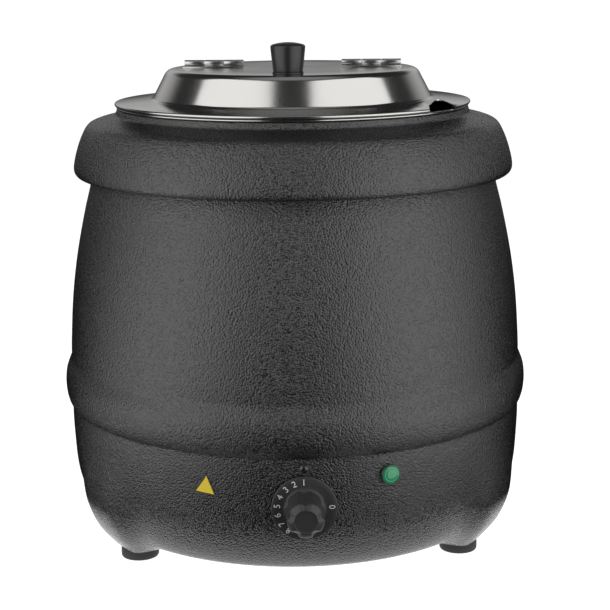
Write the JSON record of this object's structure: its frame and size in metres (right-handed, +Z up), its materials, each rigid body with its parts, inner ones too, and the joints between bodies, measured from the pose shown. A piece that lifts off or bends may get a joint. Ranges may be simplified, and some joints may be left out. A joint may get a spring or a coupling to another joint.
{
  "type": "soup kettle",
  "caption": "Barrel-shaped countertop soup kettle with a cap ring, wet well, lift-out pot, hinged domed lid with ladle notch, front control dial, green lamp and short feet.",
  "frame": {"origin": "centre of the footprint on the floor under the feet, on the axis of the barrel", "axes": "+Z up along the barrel's axis, -Y towards the control dial at the front, +Y towards the cable gland at the rear, +X to the right seen from the front"},
  "size_m": [0.3401, 0.3832, 0.3639],
  "materials": {
    "black_powder_coat": "black textured powder coat, satin gloss",
    "stainless_steel": "polished stainless sheet with fine spinning lines",
    "polished_steel": "polished hinge steel",
    "well_aluminium": "satin aluminium",
    "zinc_steel": "zinc plated",
    "element_steel": "dark annealed sheath",
    "copper": "drawn copper",
    "moulded_black": "moulded phenolic, semi-matt",
    "black_rubber": "matt moulded rubber",
    "silicone": "matt silicone",
    "green_lens": "glossy translucent green",
    "yellow_label": "printed film",
    "terminal_white": "moulded nylon"
  },
  "bodies": {
    "base": {"outer_shell": "black_powder_coat", "top_ring": "black_powder_coat", "well_gasket": "silicone", "water_well": "well_aluminium", "well_stud": "zinc_steel", "element_ring": "element_steel", "element_clamp": "zinc_steel", "clamp_nut": "zinc_steel", "sensor_bulb": "copper", "bulb_clip": "zinc_steel", "capillary_tube": "copper", "thermal_cutout": "zinc_steel", "thermostat_body": "moulded_black", "thermostat_bracket": "zinc_steel", "thermostat_screws": "zinc_steel", "indicator_lens": "green_lens", "indicator_body": "moulded_black", "indicator_clip": "zinc_steel", "caution_label": "yellow_label", "gland_body": "moulded_black", "gland_locknut": "moulded_black", "gland_dome_nut": "moulded_black", "gland_seal": "black_rubber", "terminal_block": "terminal_white", "terminal_screws": "zinc_steel", "earth_stud": "zinc_steel", "earth_nut": "zinc_steel", "base_cover": "zinc_steel", "base_screws": "zinc_steel", "foot_screws": "zinc_steel", "foot_nuts": "zinc_steel", "foot_front_right": "black_rubber", "foot_rear": "black_rubber", "foot_front_left": "black_rubber"},
    "dial": {"control_dial": "moulded_black", "thermostat_shaft": "zinc_steel"},
    "pot": {"soup_pot": "stainless_steel"},
    "lid_back": {"lid_rear": "stainless_steel", "hinge_rear_leaf_left": "polished_steel", "hinge_rear_leaf_right": "polished_steel", "hinge_pin_left": "polished_steel", "hinge_pin_right": "polished_steel"},
    "lid_flap": {"lid_front": "stainless_steel", "hinge_front_leaf_left": "polished_steel", "hinge_front_leaf_right": "polished_steel", "lid_knob": "moulded_black", "knob_collar": "moulded_black", "knob_washer": "zinc_steel", "knob_screw": "zinc_steel"}
  },
  "joints": [
    {"name": "dial_turn", "type": "hinge", "parent": "base", "child": "dial", "pos_m": [0, -0.168, 0.07], "axis": [0, -1, 0], "range_deg": [-143.3, 88]},
    {"name": "pot_lift", "type": "slide", "parent": "base", "child": "pot", "axis": [0, 0, 1], "range_m": [0, 0.25]},
    {"name": "lid_lift", "type": "slide", "parent": "pot", "child": "lid_back", "axis": [0, 0, 1], "range_m": [0, 0.12]},
    {"name": "lid_hinge", "type": "hinge", "parent": "lid_back", "child": "lid_flap", "pos_m": [0.00072, 0.00997, 0.3456], "axis": [-0.9974, 0.0715, 0], "range_deg": [0, 160]}
  ]
}
